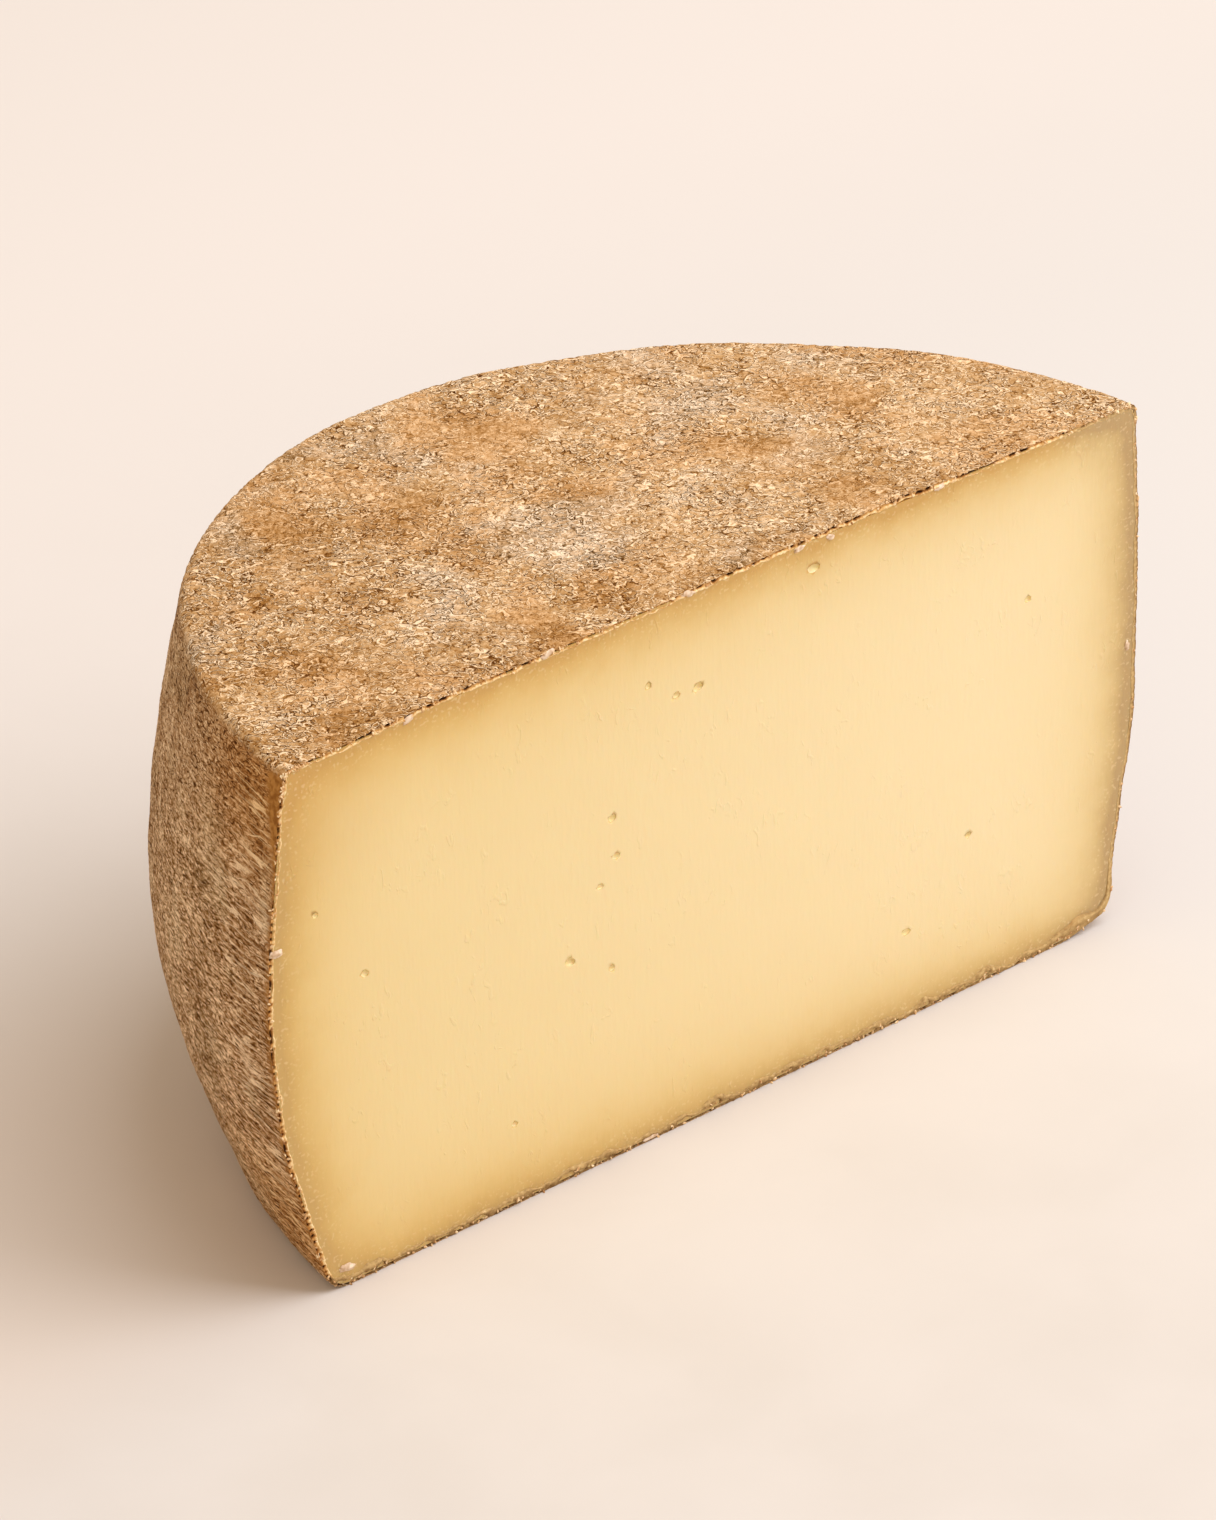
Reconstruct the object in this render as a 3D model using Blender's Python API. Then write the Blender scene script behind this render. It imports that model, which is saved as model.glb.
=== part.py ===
"""Half a wheel of pressed sheep's milk cheese, standing on its base with the cut face to the front.

Metres, +Z up. The origin is at the middle of the bounding box's underside, +X runs along the cut
and the cut face looks towards -Y. The rind and the paste are one solid. The rind's relief, the
bulging heel, its rounded rims and the eyes in the paste are all shape in that solid.
"""
import math

import bmesh
import bpy
import numpy as np
from mathutils import Vector, noise

# Driving dimensions
WHEEL_HEIGHT = 0.125
CUT_BEHIND_AXIS = 0.0143  # the cut misses the wheel's axis, so this is the smaller half

# The heel's radius towards each end of the cut, at even steps from the base to the top
HEEL_LEFT = (0.1049, 0.1121, 0.1169, 0.1178, 0.1160, 0.1122)
HEEL_RIGHT = (0.1085, 0.1104, 0.1134, 0.1141, 0.1136, 0.1125)

# The back of the heel stands out further, with a belly that hangs low and leans to the left
BACK_REACH = 0.0043
BACK_BELLY = 0.0094
BACK_BELLY_HANG = 0.0070
BACK_LEAN = 0.0092

# Rims: the top one is tight, and the bottom one wears rounder towards the right of the cut
TOP_RIM_WIDTH = 0.0014
TOP_RIM_DROP = 0.0018
BASE_RIM_WIDTH = 0.0095
BASE_RIM_WIDTH_SWING = 0.0055
BASE_RIM_LIFT = 0.0070
BASE_RIM_LIFT_SWING = 0.0030

# Top of the wheel: a slight dome with shallow sags where it rested on its board
TOP_DOME = 0.0014
TOP_SAG = 0.0005
TOP_SAG_LENGTH = 0.055

# Relief of the rind: broad lumps and the finer dents between them
LUMP_DEPTH = 0.0007
LUMP_LENGTH = 0.030
DENT_DEPTH = 0.00035
DENT_LENGTH = 0.0095
DENT_START = Vector((7.3, 1.9, 4.1))  # where in the noise the dents are read, clear of the lumps
BASE_FADE = 0.006  # the relief dies out over this height, so that the base stays flat

# Mesh: cells along the cut, from the cut to the back of the heel, and up the heel
CELLS_ALONG = 60
CELLS_DEEP = 27
HEEL_ROWS = 22
BASE_RIM_ROWS = 4
TOP_RIM_ROWS = 2
OUTLINE_PASSES = 6

# Eyes in the cut face: distance right of the middle, height above the base, width and height
EYES = (
    (0.0229, 0.1190, 0.0028, 0.0020),
    (-0.0076, 0.1032, 0.0022, 0.0019),
    (-0.0134, 0.1036, 0.0016, 0.0012),
    (-0.0206, 0.1085, 0.0014, 0.0012),
    (-0.0303, 0.0816, 0.0018, 0.0015),
    (-0.0294, 0.0723, 0.0018, 0.0014),
    (-0.0336, 0.0667, 0.0016, 0.0012),
    (-0.0417, 0.0523, 0.0021, 0.0019),
    (-0.0308, 0.0462, 0.0014, 0.0013),
    (0.0490, 0.0215, 0.0022, 0.0014),
    (0.0661, 0.0384, 0.0014, 0.0012),
    (0.0820, 0.0894, 0.0017, 0.0014),
    (-0.0936, 0.0713, 0.0018, 0.0014),
    (-0.1053, 0.0897, 0.0013, 0.0012),
    (-0.0567, 0.0197, 0.0015, 0.0012),
)
EYE_DEPTH_SHARE = 0.8  # depth of an eye as a share of its height
EYE_SEGMENTS = 10
EYE_RINGS = 6

PASTE_COLOUR = (0.84, 0.66, 0.37)
RIND_COLOUR = (0.46, 0.30, 0.155)


def clear_scene():
    """Remove every object that the opened file brings."""
    for old in list(bpy.data.objects):
        bpy.data.objects.remove(old)


def make_material(name, colour, roughness):
    """A Principled material in one plain finish."""
    material = bpy.data.materials.new(name)
    material.use_nodes = True
    shader = material.node_tree.nodes["Principled BSDF"]
    shader.inputs["Base Color"].default_value = (*colour, 1.0)
    shader.inputs["Roughness"].default_value = roughness
    shader.inputs["Metallic"].default_value = 0.0
    return material


def side_radius(radii, height):
    """Radius at a height, on a smooth curve through radii at even steps from base to top."""
    steps = np.linspace(0.0, 1.0, len(radii))
    curve = np.polyfit(steps, radii, len(radii) - 1)
    return np.polyval(curve, height / WHEEL_HEIGHT)


def heel_radius(turn, height):
    """The heel's distance from the wheel's axis, at a turn about the axis from +X and at a height."""
    right = 0.5 * (1 + np.cos(turn))
    sides = right * side_radius(HEEL_RIGHT, height) + (1 - right) * side_radius(HEEL_LEFT, height)
    share = height / WHEEL_HEIGHT
    belly = 4 * share * (1 - share) * (BACK_BELLY + BACK_BELLY_HANG * (1 - 2 * share))
    return sides + np.sin(turn) ** 2 * (BACK_REACH + belly - BACK_LEAN * np.cos(turn))


def base_rim(turn):
    """Width and lift of the bottom rim in a direction from the wheel's axis."""
    side = np.cos(turn)
    width = BASE_RIM_WIDTH + BASE_RIM_WIDTH_SWING * side
    lift = BASE_RIM_LIFT + BASE_RIM_LIFT_SWING * side
    return width, lift


def heel_row(row, turn):
    """Radius and height of one row of the heel, from the base's edge (row 0) to the top's edge."""
    width, lift = base_rim(turn)
    top_start = WHEEL_HEIGHT - TOP_RIM_DROP
    if row <= BASE_RIM_ROWS:
        angle = 0.5 * math.pi * row / BASE_RIM_ROWS
        height = lift * (1 - math.cos(angle))
        inset = width * (1 - math.sin(angle))
    elif row <= BASE_RIM_ROWS + HEEL_ROWS:
        height = lift + (top_start - lift) * (row - BASE_RIM_ROWS) / HEEL_ROWS
        inset = 0.0
    else:
        angle = 0.5 * math.pi * (row - BASE_RIM_ROWS - HEEL_ROWS) / TOP_RIM_ROWS
        height = np.full_like(turn, top_start + TOP_RIM_DROP * math.sin(angle))
        inset = TOP_RIM_WIDTH * (1 - math.cos(angle))
    return heel_radius(turn, height) - inset, height


def outline(row, bearing):
    """Where the heel's row lies in each direction from the middle of the cut: distance and height.

    A row's radius is known by its turn about the wheel's axis, which depends on the distance, so
    the two are worked out in turn until they agree.
    """
    along = CUT_BEHIND_AXIS * np.sin(bearing)
    distance = np.full_like(bearing, HEEL_LEFT[0])
    for _ in range(OUTLINE_PASSES):
        turn = np.arctan2(CUT_BEHIND_AXIS + distance * np.sin(bearing), distance * np.cos(bearing))
        radius, height = heel_row(row, turn)
        distance = np.sqrt(radius**2 - CUT_BEHIND_AXIS**2 + along**2) - along
    return distance, height


def half_disc(across, deep):
    """Spread a flat lattice over the half disc: reach from 0 to 1 and bearing from the cut's middle."""
    x = across * np.sqrt(1 - 0.5 * deep**2)
    y = deep * np.sqrt(1 - 0.5 * across**2)
    return np.hypot(x, y), np.arctan2(y, x)


def lattice_border():
    """The lattice's steps from the cut's right end, round the heel, to its left end."""
    right = [(CELLS_ALONG, step) for step in range(CELLS_DEEP)]
    back = [(step, CELLS_DEEP) for step in range(CELLS_ALONG, 0, -1)]
    left = [(0, step) for step in range(CELLS_DEEP, -1, -1)]
    return right + back + left


def lattice_place(step_along, step_deep):
    """A lattice step as shares: -1 to 1 along the cut and 0 to 1 into the wheel."""
    return 2 * step_along / CELLS_ALONG - 1, step_deep / CELLS_DEEP


def top_height(reach, x, y):
    """Height of the wheel's top, with its dome and its sags."""
    sag = noise.noise(Vector((x, y, 0.0)) / TOP_SAG_LENGTH)
    return WHEEL_HEIGHT + (1 - reach**2) * (TOP_DOME + TOP_SAG * sag)


def build_body():
    """The half wheel with smooth rind: base, heel, top and cut face as one closed mesh."""
    mesh = bmesh.new()
    border = lattice_border()
    places = np.array([lattice_place(*step) for step in border])
    bearing = half_disc(places[:, 0], places[:, 1])[1]
    bearing[0] = 0.0
    bearing[-1] = math.pi

    rows = []
    for row in range(BASE_RIM_ROWS + HEEL_ROWS + TOP_RIM_ROWS + 1):
        distance, height = outline(row, bearing)
        x = distance * np.cos(bearing)
        y = distance * np.sin(bearing)
        y[0] = y[-1] = 0.0
        rows.append([mesh.verts.new(place) for place in zip(x, y, height)])

    top_distance = outline(len(rows) - 1, bearing)[0]
    top = dict(zip(border, rows[-1]))
    for step_along in range(1, CELLS_ALONG):
        for step_deep in range(CELLS_DEEP):
            reach, turn = half_disc(*lattice_place(step_along, step_deep))
            distance = reach * np.interp(turn, bearing, top_distance)
            x = distance * math.cos(turn)
            y = distance * math.sin(turn)
            top[step_along, step_deep] = mesh.verts.new((x, y, top_height(reach, x, y)))

    for lower, upper in zip(rows, rows[1:]):
        for step in range(len(border) - 1):
            mesh.faces.new((lower[step], lower[step + 1], upper[step + 1], upper[step]))
    for i in range(CELLS_ALONG):
        for j in range(CELLS_DEEP):
            mesh.faces.new((top[i, j], top[i + 1, j], top[i + 1, j + 1], top[i, j + 1]))
    base = mesh.faces.new(reversed(rows[0]))
    cut_top = [top[step, 0] for step in range(1, CELLS_ALONG)]
    right_side = [row[0] for row in rows]
    left_side = [row[-1] for row in rows]
    cut = mesh.faces.new(left_side[:1] + right_side + cut_top[::-1] + left_side[:0:-1])
    return mesh, base, cut


def relief(place):
    """Height of the rind's lumps and dents at a place."""
    lumps = noise.noise(place / LUMP_LENGTH)
    dents = noise.noise(place / DENT_LENGTH + DENT_START)
    return LUMP_DEPTH * lumps + DENT_DEPTH * dents


def press_relief(mesh):
    """Push the rind in and out. The base stays flat, and the cut's edge stays in the cut's plane."""
    mesh.normal_update()
    moves = []
    for vert in mesh.verts:
        outward = vert.normal.copy()
        if vert.co.y == 0.0:
            outward.y = 0.0
            outward.normalize()
        fade = min(vert.co.z / BASE_FADE, 1.0)
        moves.append(outward * relief(vert.co) * fade * fade * (3 - 2 * fade))
    for vert, move in zip(mesh.verts, moves):
        vert.co += move


def make_half_wheel(rind, paste):
    """The half wheel as one object, with rind on its outside and paste on its cut face."""
    mesh, base, cut = build_body()
    press_relief(mesh)
    cut.material_index = 1
    for face in mesh.faces:
        face.smooth = face not in (base, cut)
    data = bpy.data.meshes.new("half_wheel")
    mesh.to_mesh(data)
    mesh.free()
    half_wheel = bpy.data.objects.new("half_wheel", data)
    bpy.context.scene.collection.objects.link(half_wheel)
    data.materials.append(rind)
    data.materials.append(paste)
    return half_wheel


def cut_eyes(half_wheel, paste):
    """Sink the eyes into the cut face, each a small flattened bowl."""
    mesh = bmesh.new()
    for x, z, width, height in EYES:
        eye = bmesh.ops.create_uvsphere(mesh, u_segments=EYE_SEGMENTS, v_segments=EYE_RINGS, radius=0.5)
        depth = 2 * EYE_DEPTH_SHARE * height
        bmesh.ops.scale(mesh, vec=(width, depth, height), verts=eye["verts"])
        bmesh.ops.translate(mesh, vec=(x, 0.0, z), verts=eye["verts"])
    data = bpy.data.meshes.new("eye_cutter")
    mesh.to_mesh(data)
    mesh.free()
    data.materials.append(paste)
    cutter = bpy.data.objects.new("eye_cutter", data)
    bpy.context.scene.collection.objects.link(cutter)
    cutter.display_type = "WIRE"
    cutter.hide_render = True
    cut = half_wheel.modifiers.new("eyes", "BOOLEAN")
    cut.operation = "DIFFERENCE"
    cut.solver = "EXACT"
    cut.object = cutter
    bpy.context.view_layer.objects.active = half_wheel
    with bpy.context.temp_override(object=half_wheel, active_object=half_wheel):
        bpy.ops.object.modifier_apply(modifier=cut.name)
    bpy.data.objects.remove(cutter)


def centre_on_base(half_wheel):
    """Move the mesh so that the origin is the middle of the bounding box's underside."""
    places = np.array([vert.co for vert in half_wheel.data.vertices])
    low = places.min(axis=0)
    high = places.max(axis=0)
    middle = Vector((0.5 * (low[0] + high[0]), 0.5 * (low[1] + high[1]), low[2]))
    for vert in half_wheel.data.vertices:
        vert.co -= middle


def main():
    clear_scene()
    rind = make_material("rind", RIND_COLOUR, 0.85)
    paste = make_material("paste", PASTE_COLOUR, 0.5)
    half_wheel = make_half_wheel(rind, paste)
    cut_eyes(half_wheel, paste)
    centre_on_base(half_wheel)


main()
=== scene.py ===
"""Half a wheel of pressed sheep's milk cheese, dressed: rind, cut paste and crumbs on a pale floor.

Metres, +Z up. Shapes are worked out round the middle of the cut, with the cut at y = 0 and the wheel
behind it, and are moved into the model's frame when a piece is made.
"""
import math

import bmesh
import bpy
import numpy as np
from mathutils import Matrix, Vector, noise


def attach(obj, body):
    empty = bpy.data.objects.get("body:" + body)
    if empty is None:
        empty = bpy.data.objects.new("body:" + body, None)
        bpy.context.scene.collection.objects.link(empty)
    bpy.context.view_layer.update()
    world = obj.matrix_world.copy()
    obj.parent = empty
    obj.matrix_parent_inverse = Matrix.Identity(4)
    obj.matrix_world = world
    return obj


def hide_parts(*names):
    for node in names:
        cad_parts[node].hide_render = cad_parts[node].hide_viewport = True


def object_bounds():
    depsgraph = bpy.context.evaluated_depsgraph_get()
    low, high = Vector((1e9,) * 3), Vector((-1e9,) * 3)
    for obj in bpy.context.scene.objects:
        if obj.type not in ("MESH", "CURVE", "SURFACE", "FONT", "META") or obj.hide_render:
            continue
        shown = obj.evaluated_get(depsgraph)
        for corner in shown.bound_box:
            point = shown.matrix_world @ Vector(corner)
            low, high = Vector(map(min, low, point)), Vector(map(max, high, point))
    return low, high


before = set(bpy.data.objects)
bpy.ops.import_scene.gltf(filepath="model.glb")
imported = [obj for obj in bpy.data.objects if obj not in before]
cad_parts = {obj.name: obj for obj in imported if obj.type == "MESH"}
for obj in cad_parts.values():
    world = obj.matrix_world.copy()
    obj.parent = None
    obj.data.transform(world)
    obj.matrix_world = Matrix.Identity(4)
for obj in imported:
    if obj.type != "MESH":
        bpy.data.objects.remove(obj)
solid_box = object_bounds()

MM = 0.001

# The wheel, as the solid has it
WHEEL_HEIGHT = 0.125
CUT_BEHIND_AXIS = 0.0143
HEEL_LEFT = (0.1049, 0.1121, 0.1169, 0.1178, 0.1160, 0.1122)
HEEL_RIGHT = (0.1085, 0.1104, 0.1134, 0.1141, 0.1136, 0.1125)
BACK_REACH = 0.0043
BACK_BELLY = 0.0094
BACK_BELLY_HANG = 0.0070
BACK_LEAN = 0.0092
TOP_RIM_WIDTH = 0.0014
TOP_RIM_DROP = 0.0018
BASE_RIM_WIDTH = 0.0095
BASE_RIM_WIDTH_SWING = 0.0055
BASE_RIM_LIFT = 0.0070
BASE_RIM_LIFT_SWING = 0.0030
TOP_DOME = 0.0014
TOP_SAG = 0.0005
TOP_SAG_LENGTH = 0.055
LUMP_DEPTH = 0.0007
LUMP_LENGTH = 0.030
DENT_DEPTH = 0.00035
DENT_LENGTH = 0.0095
DENT_START = (7.3, 1.9, 4.1)
BASE_FADE = 0.006
OUTLINE_PASSES = 6

# Cells of the rind: along the cut, into the wheel, and up the heel
CELLS_ALONG = 200
CELLS_DEEP = 105
BASE_RIM_ROWS = 24
HEEL_ROWS = 300
TOP_RIM_ROWS = 6
COARSE = 5  # cells of the visible side to one of the hidden side

# Where the wheel's middle of the cut stands in the model's frame
CUT_MIDDLE = np.array((0.0018, solid_box[0].y, 0.0))


# ---------------------------------------------------------------- shape of the wheel


def side_radius(radii, height):
    """Radius at a height, on a smooth curve through radii at even steps from base to top."""
    steps = np.linspace(0.0, 1.0, len(radii))
    curve = np.polyfit(steps, radii, len(radii) - 1)
    return np.polyval(curve, height / WHEEL_HEIGHT)


def heel_radius(turn, height):
    """The heel's distance from the wheel's axis, at a turn about the axis from +X and at a height."""
    right = 0.5 * (1 + np.cos(turn))
    sides = right * side_radius(HEEL_RIGHT, height) + (1 - right) * side_radius(HEEL_LEFT, height)
    share = height / WHEEL_HEIGHT
    belly = 4 * share * (1 - share) * (BACK_BELLY + BACK_BELLY_HANG * (1 - 2 * share))
    return sides + np.sin(turn) ** 2 * (BACK_REACH + belly - BACK_LEAN * np.cos(turn))


def base_rim(turn):
    """Width and height of the base's rounded rim, which swells from the left end to the right."""
    side = np.cos(turn)
    return BASE_RIM_WIDTH + BASE_RIM_WIDTH_SWING * side, BASE_RIM_LIFT + BASE_RIM_LIFT_SWING * side


def heel_row(row, turn):
    """Radius and height of one row of the heel, from the base's edge (row 0) to the top's edge."""
    width, lift = base_rim(turn)
    top_start = WHEEL_HEIGHT - TOP_RIM_DROP
    if row <= BASE_RIM_ROWS:
        angle = 0.5 * math.pi * row / BASE_RIM_ROWS
        height = lift * (1 - math.cos(angle))
        inset = width * (1 - math.sin(angle))
    elif row <= BASE_RIM_ROWS + HEEL_ROWS:
        height = lift + (top_start - lift) * (row - BASE_RIM_ROWS) / HEEL_ROWS
        inset = 0.0
    else:
        angle = 0.5 * math.pi * (row - BASE_RIM_ROWS - HEEL_ROWS) / TOP_RIM_ROWS
        height = np.full_like(turn, top_start + TOP_RIM_DROP * math.sin(angle))
        inset = TOP_RIM_WIDTH * (1 - math.cos(angle))
    return heel_radius(turn, height) - inset, height


def outline(row, bearing):
    """Where the heel's row lies in each direction from the middle of the cut: distance and height."""
    along = CUT_BEHIND_AXIS * np.sin(bearing)
    distance = np.full_like(bearing, HEEL_LEFT[0])
    for _ in range(OUTLINE_PASSES):
        turn = np.arctan2(CUT_BEHIND_AXIS + distance * np.sin(bearing), distance * np.cos(bearing))
        radius, height = heel_row(row, turn)
        distance = np.sqrt(radius**2 - CUT_BEHIND_AXIS**2 + along**2) - along
    return distance, height


def half_disc(across, deep):
    """Spread a flat lattice over the half disc: reach from 0 to 1 and bearing from the cut's middle."""
    x = across * np.sqrt(1 - 0.5 * deep**2)
    y = deep * np.sqrt(1 - 0.5 * across**2)
    return np.hypot(x, y), np.arctan2(y, x)


def lattice_bearings():
    """Bearings of the lattice's border, from the cut's right end round the back to its left end."""
    deep = np.arange(CELLS_DEEP + 1) / CELLS_DEEP
    across = 2 * np.arange(CELLS_ALONG + 1) / CELLS_ALONG - 1
    right = half_disc(1.0, deep)[1]
    back = half_disc(across[::-1], 1.0)[1]
    left = half_disc(-1.0, deep[::-1])[1]
    bearings = np.concatenate((right, back[1:-1], left))
    bearings[-1] = math.pi
    return bearings


def speckle(places, length, start=(0.0, 0.0, 0.0)):
    """Smooth noise from about -1 to 1 at some places, with features of one length."""
    flat = (places.reshape(-1, 3) / length + start).tolist()
    return np.array([noise.noise(place) for place in flat]).reshape(places.shape[:-1])


def fade_in(values, low, high):
    """0 below low and 1 above high, with a smooth slope between."""
    share = np.clip((values - low) / (high - low), 0.0, 1.0)
    return share * share * (3 - 2 * share)


def outward_normals(grid):
    """Outward normals of a grid whose columns and rows turn round it to the left and upwards."""
    normals = np.cross(np.gradient(grid, axis=1), np.gradient(grid, axis=0))
    return normals / np.linalg.norm(normals, axis=-1, keepdims=True)


# ---------------------------------------------------------------- relief of the rind

RING_PITCH = 0.0016  # rings round the heel, left by the cloth and the brush
RING_DEPTH = 0.00005
RING_SWAY = 0.0011
RING_SWAY_LENGTH = 0.020
RING_WANDER = 0.0003
RING_WANDER_LENGTH = 0.006
GRAIN_DEPTH = 0.00024  # wrinkled grains between crevices
GRAIN_LENGTH = 0.0018
CREVICE = 0.20  # how near to zero the noise is in a crevice
HEEL_BAND = (0.1222, 0.1246)  # the heel's skin gives way to the top's between these heights
RING_BAND = (0.1160, 0.1225)  # and the rings fade out between these
FOOT_BAND = (0.001, 0.007)  # both fade out towards the floor
RING_GAP_LENGTH = 0.006  # how far a ring runs between its gaps
RIM_BAND = (0.116, 0.1235)  # the top's rim, where the dents are calmer, by height
RIM_RADII = (0.098, 0.108)  # and by distance from the wheel's axis
BASE_EDGE_BAND = (0.001, 0.006)  # the underside's crevices are shallow next to the cut
BEHIND_REACH = 40.0  # millimetres behind the cut that the finish can tell apart
FOLD = (0.1015, 0.0062)  # the rind is squashed and folded at the cut's lower right corner
FOLD_REACH = 0.0075
FOLD_RISE = 0.0006  # out of the cut
FOLD_SWELL = 0.0021  # out of the rind
FOLD_FOOT_BAND = (0.001, 0.004)  # the swelling fades out towards the floor
PALE_PATCHES = (  # of the top's skin: distance right of the middle, distance behind the cut, reach
    (-0.017, 0.030, 0.012),
    (0.018, 0.032, 0.009),
    (-0.048, 0.029, 0.012),
    (0.037, 0.062, 0.011),
    (0.084, 0.024, 0.009),
    (-0.098, 0.016, 0.006),
)
OCHRE_PATCHES = (
    (-0.001, 0.079, 0.010),
    (-0.033, 0.062, 0.008),
    (0.000, 0.045, 0.006),
    (-0.026, 0.010, 0.009),
    (-0.042, 0.007, 0.006),
    (-0.092, 0.009, 0.007),
    (-0.088, 0.033, 0.006),
    (-0.051, 0.071, 0.009),
    (0.066, 0.044, 0.010),
    (0.079, 0.011, 0.009),
    (0.044, 0.009, 0.010),
    (0.042, 0.039, 0.008),
)
PATCH_WANDER = 0.016


def swirled(places, length, start):
    """Places moved about by noise, so that what is drawn there wanders."""
    shift = [speckle(places, length, np.add(start, turn)) for turn in (0.0, 17.1, 31.7)]
    return places + length * 0.5 * np.stack(shift, axis=-1)


def grains(places, length, start):
    """Wrinkled grains: 1 on their backs and 0 in the crevices between them."""
    wander = speckle(swirled(places, 2.0 * length, start), length, start)
    return 1 - np.exp(-((wander / CREVICE) ** 2))


def in_patches(places, patches):
    """1 in the middle of a patch of the top's skin, and 0 far from all of them."""
    wandered = swirled(places, PATCH_WANDER, (4.0, 6.0, 2.0))
    share = np.zeros(places.shape[:-1])
    for x, behind, reach in patches:
        away = ((wandered[..., :2] - (x, behind)) ** 2).sum(axis=-1)
        share = np.maximum(share, np.exp(-away / reach**2))
    return share


def ring_phase(places):
    """Turns of the rings' wave from the base up, swaying as they run round the heel."""
    bearing = np.arctan2(places[..., 1] + CUT_BEHIND_AXIS, places[..., 0])
    round_heel = np.stack((bearing * 0.11, np.zeros_like(bearing), places[..., 2] * 3), axis=-1)
    sway = RING_SWAY * speckle(round_heel, RING_SWAY_LENGTH, (3.0, 0.0, 5.0))
    wander = RING_WANDER * speckle(places, RING_WANDER_LENGTH, (6.0, 2.0, 9.0))
    return (places[..., 2] + sway + wander) / RING_PITCH


def rind_relief(places):
    """Height of the rind's surface over the smooth wheel, and marks for its colours."""
    height = places[..., 2]
    foot = fade_in(height, *FOOT_BAND)
    heel = (1 - fade_in(height, *HEEL_BAND)) * foot
    ringed = (1 - fade_in(height, *RING_BAND)) * foot
    lumps = LUMP_DEPTH * speckle(places, LUMP_LENGTH)
    dents = DENT_DEPTH * speckle(places, DENT_LENGTH, DENT_START)
    grain = grains(places, GRAIN_LENGTH, (1.0, 4.0, 2.0))
    phase = ring_phase(places)
    ridge = (0.5 + 0.5 * np.cos(2 * math.pi * phase)) ** 2
    whole = fade_in(speckle(places * (1, 1, 3), RING_GAP_LENGTH, (9.0, 2.0, 1.0)), -0.4, 0.3)
    broken = 0.35 + 0.65 * whole
    fine = GRAIN_DEPTH * (1 - 0.4 * ringed) * (grain - 0.7) + ringed * RING_DEPTH * broken * (ridge - 0.4)
    stands = fade_in(height, 0.0, BASE_FADE)
    from_axis = np.hypot(places[..., 0], places[..., 1] + CUT_BEHIND_AXIS)
    rim = fade_in(height, *RIM_BAND) * fade_in(from_axis, *RIM_RADII)
    sunk = (0.3 + 0.7 * fade_in(places[..., 1], *BASE_EDGE_BAND)) * GRAIN_DEPTH * (1 - grain)
    relief = stands * (lumps + (1 - 0.8 * rim) * dents + fine) - (1 - stands) * sunk
    away = ((places - (FOLD[0], 0.0, FOLD[1])) ** 2 * (1.0, 0.3, 1.0)).sum(axis=-1)
    relief = relief + FOLD_SWELL * np.exp(-away / FOLD_REACH**2 * 2) * fade_in(height, *FOLD_FOOT_BAND)
    behind = np.clip(places[..., 1] / MM, 0.0, BEHIND_REACH)
    bloom = in_patches(places, PALE_PATCHES) - in_patches(places, OCHRE_PATCHES)
    marks = {
        # the finish also darkens the crevices by this mark, as painted shade
        "grain": grain,
        "heel": heel,
        "ringed": ringed * broken,
        "phase": phase,
        "behind": behind,
        "bloom": bloom,
    }
    return relief, marks


# ---------------------------------------------------------------- pieces of rind

RIND_THICKNESS = 0.0013
SHARP_FROM = math.radians(62)
SECTION_WIDTH = 0.0013  # how much of the rind shows as a band round the cut
SECTION_SWAY_LENGTH = 0.0035
SECTION_THICKNESS = 0.8 * MM
SECTION_FOOT_BAND = (0.001, 0.006)  # it is wider and more ragged below these heights
SECTION_END_BAND = (0.088, 0.100)  # and has hardly any pits and lumps towards the cut's right end
# From the paste outwards: share of the band's width, how far it is sunk, and its share of a pit
SECTION_ROWS = (
    (1.00, 0.00065, 0.0),
    (0.84, 0.00000, 0.0),
    (0.66, -0.00010, 0.1),
    (0.50, 0.00000, 0.7),
    (0.36, 0.00010, 1.0),
    (0.20, 0.00012, 1.0),
    (0.07, 0.00008, 0.9),
)
SECTION_LUMPS = 0.00020
SECTION_LUMP_LENGTH = 0.0010
PIT_DEPTH = 0.0006
PIT_LENGTH = 0.0021
FOOT_RISE = 0.0003  # the section's broken ridge along the foot of the cut
FOOT_RAGGED_LENGTH = 0.0075


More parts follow.
